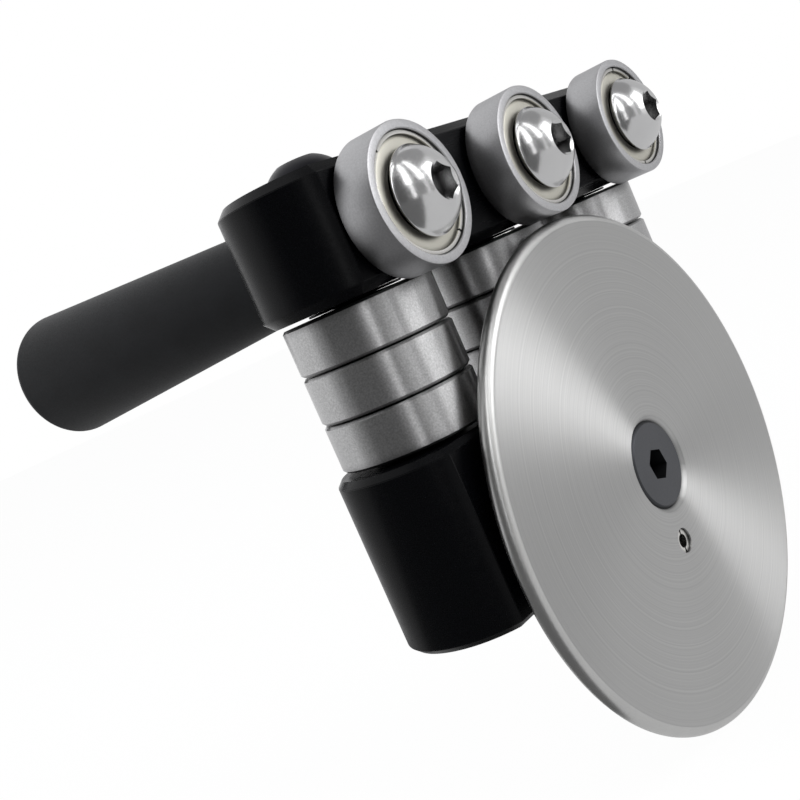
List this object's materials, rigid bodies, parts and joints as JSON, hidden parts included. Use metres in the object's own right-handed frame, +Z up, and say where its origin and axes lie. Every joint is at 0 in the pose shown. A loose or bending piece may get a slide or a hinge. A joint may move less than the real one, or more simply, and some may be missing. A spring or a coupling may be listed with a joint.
{
  "type": "profile roller bender",
  "caption": "Hand roller bender for sheet metal edges: black blocks joined by columns of steel guide rollers, press rollers in front, a large free-turning disc and a tapered handle.",
  "frame": {"origin": "middle of the whole tool's bounding box", "axes": "+X is the front, where the press rollers and the disc face; the handle points to -X; +Y runs along the two blocks; +Z is up, along the columns"},
  "size_m": [0.1486, 0.1024, 0.1163],
  "materials": {
    "block_black": "black anodised, satin",
    "grip_black": "smooth matt black",
    "ground_steel": "ground bearing steel, satin",
    "shield_steel": "bright sheet steel",
    "polished_steel": "polished stainless steel",
    "disc_steel": "turned stainless steel, concentric grain",
    "black_steel": "black oxide",
    "bronze": "sintered bronze"
  },
  "bodies": {
    "frame": {"upper_block": "block_black", "lower_block": "block_black", "press_inner_ring_1": "ground_steel", "press_screw_1": "polished_steel", "press_inner_ring_2": "ground_steel", "press_screw_2": "polished_steel", "press_inner_ring_3": "ground_steel", "press_screw_3": "polished_steel", "guide_inner_ring_1_top": "ground_steel", "guide_inner_ring_1_middle": "ground_steel", "guide_inner_ring_1_bottom": "ground_steel", "guide_spacer_1_top": "black_steel", "guide_spacer_1_bottom": "black_steel", "column_bolt_1": "black_steel", "guide_inner_ring_2_top": "ground_steel", "guide_inner_ring_2_middle": "ground_steel", "guide_inner_ring_2_bottom": "ground_steel", "guide_spacer_2_top": "black_steel", "guide_spacer_2_bottom": "black_steel", "column_bolt_2": "black_steel", "guide_inner_ring_3_top": "ground_steel", "guide_inner_ring_3_middle": "ground_steel", "guide_inner_ring_3_bottom": "ground_steel", "guide_spacer_3_top": "black_steel", "guide_spacer_3_bottom": "black_steel", "column_bolt_3": "black_steel", "disc_bush": "bronze", "handle_grip": "grip_black", "handle_stud": "black_steel"},
    "press_1": {"press_roller_1": "ground_steel", "press_shield_1": "shield_steel", "press_retainer_1": "shield_steel"},
    "press_2": {"press_roller_2": "ground_steel", "press_shield_2": "shield_steel", "press_retainer_2": "shield_steel"},
    "press_3": {"press_roller_3": "ground_steel", "press_shield_3": "shield_steel", "press_retainer_3": "shield_steel"},
    "guide_1_top": {"guide_roller_1_top": "ground_steel"},
    "guide_1_middle": {"guide_roller_1_middle": "ground_steel"},
    "guide_1_bottom": {"guide_roller_1_bottom": "ground_steel"},
    "guide_2_top": {"guide_roller_2_top": "ground_steel"},
    "guide_2_middle": {"guide_roller_2_middle": "ground_steel"},
    "guide_2_bottom": {"guide_roller_2_bottom": "ground_steel"},
    "guide_3_top": {"guide_roller_3_top": "ground_steel"},
    "guide_3_middle": {"guide_roller_3_middle": "ground_steel"},
    "guide_3_bottom": {"guide_roller_3_bottom": "ground_steel"},
    "disc": {"bending_disc": "disc_steel", "disc_hub": "black_steel", "disc_screw": "black_steel", "disc_pin": "black_steel"}
  },
  "joints": [
    {"name": "press_1_spin", "type": "hinge", "parent": "frame", "child": "press_1", "pos_m": [0.06635, -0.035, 0.04365], "axis": [1, 0, 0], "continuous": true},
    {"name": "press_2_spin", "type": "hinge", "parent": "frame", "child": "press_2", "pos_m": [0.06635, 0, 0.04365], "axis": [1, 0, 0], "continuous": true},
    {"name": "press_3_spin", "type": "hinge", "parent": "frame", "child": "press_3", "pos_m": [0.06635, 0.035, 0.04365], "axis": [1, 0, 0], "continuous": true},
    {"name": "guide_1_top_spin", "type": "hinge", "parent": "frame", "child": "guide_1_top", "pos_m": [0.05, -0.035, 0.02915], "axis": [0, 0, 1], "continuous": true},
    {"name": "guide_1_middle_spin", "type": "hinge", "parent": "frame", "child": "guide_1_middle", "pos_m": [0.05, -0.035, 0.02115], "axis": [0, 0, 1], "continuous": true},
    {"name": "guide_1_bottom_spin", "type": "hinge", "parent": "frame", "child": "guide_1_bottom", "pos_m": [0.05, -0.035, 0.01315], "axis": [0, 0, 1], "continuous": true},
    {"name": "guide_2_top_spin", "type": "hinge", "parent": "frame", "child": "guide_2_top", "pos_m": [0.05, 0, 0.02915], "axis": [0, 0, 1], "continuous": true},
    {"name": "guide_2_middle_spin", "type": "hinge", "parent": "frame", "child": "guide_2_middle", "pos_m": [0.05, 0, 0.02115], "axis": [0, 0, 1], "continuous": true},
    {"name": "guide_2_bottom_spin", "type": "hinge", "parent": "frame", "child": "guide_2_bottom", "pos_m": [0.05, 0, 0.01315], "axis": [0, 0, 1], "continuous": true},
    {"name": "guide_3_top_spin", "type": "hinge", "parent": "frame", "child": "guide_3_top", "pos_m": [0.05, 0.035, 0.02915], "axis": [0, 0, 1], "continuous": true},
    {"name": "guide_3_middle_spin", "type": "hinge", "parent": "frame", "child": "guide_3_middle", "pos_m": [0.05, 0.035, 0.02115], "axis": [0, 0, 1], "continuous": true},
    {"name": "guide_3_bottom_spin", "type": "hinge", "parent": "frame", "child": "guide_3_bottom", "pos_m": [0.05, 0.035, 0.01315], "axis": [0, 0, 1], "continuous": true},
    {"name": "disc_spin", "type": "hinge", "parent": "frame", "child": "disc", "pos_m": [0.06605, 0, -0.01315], "axis": [1, 0, 0], "continuous": true}
  ]
}
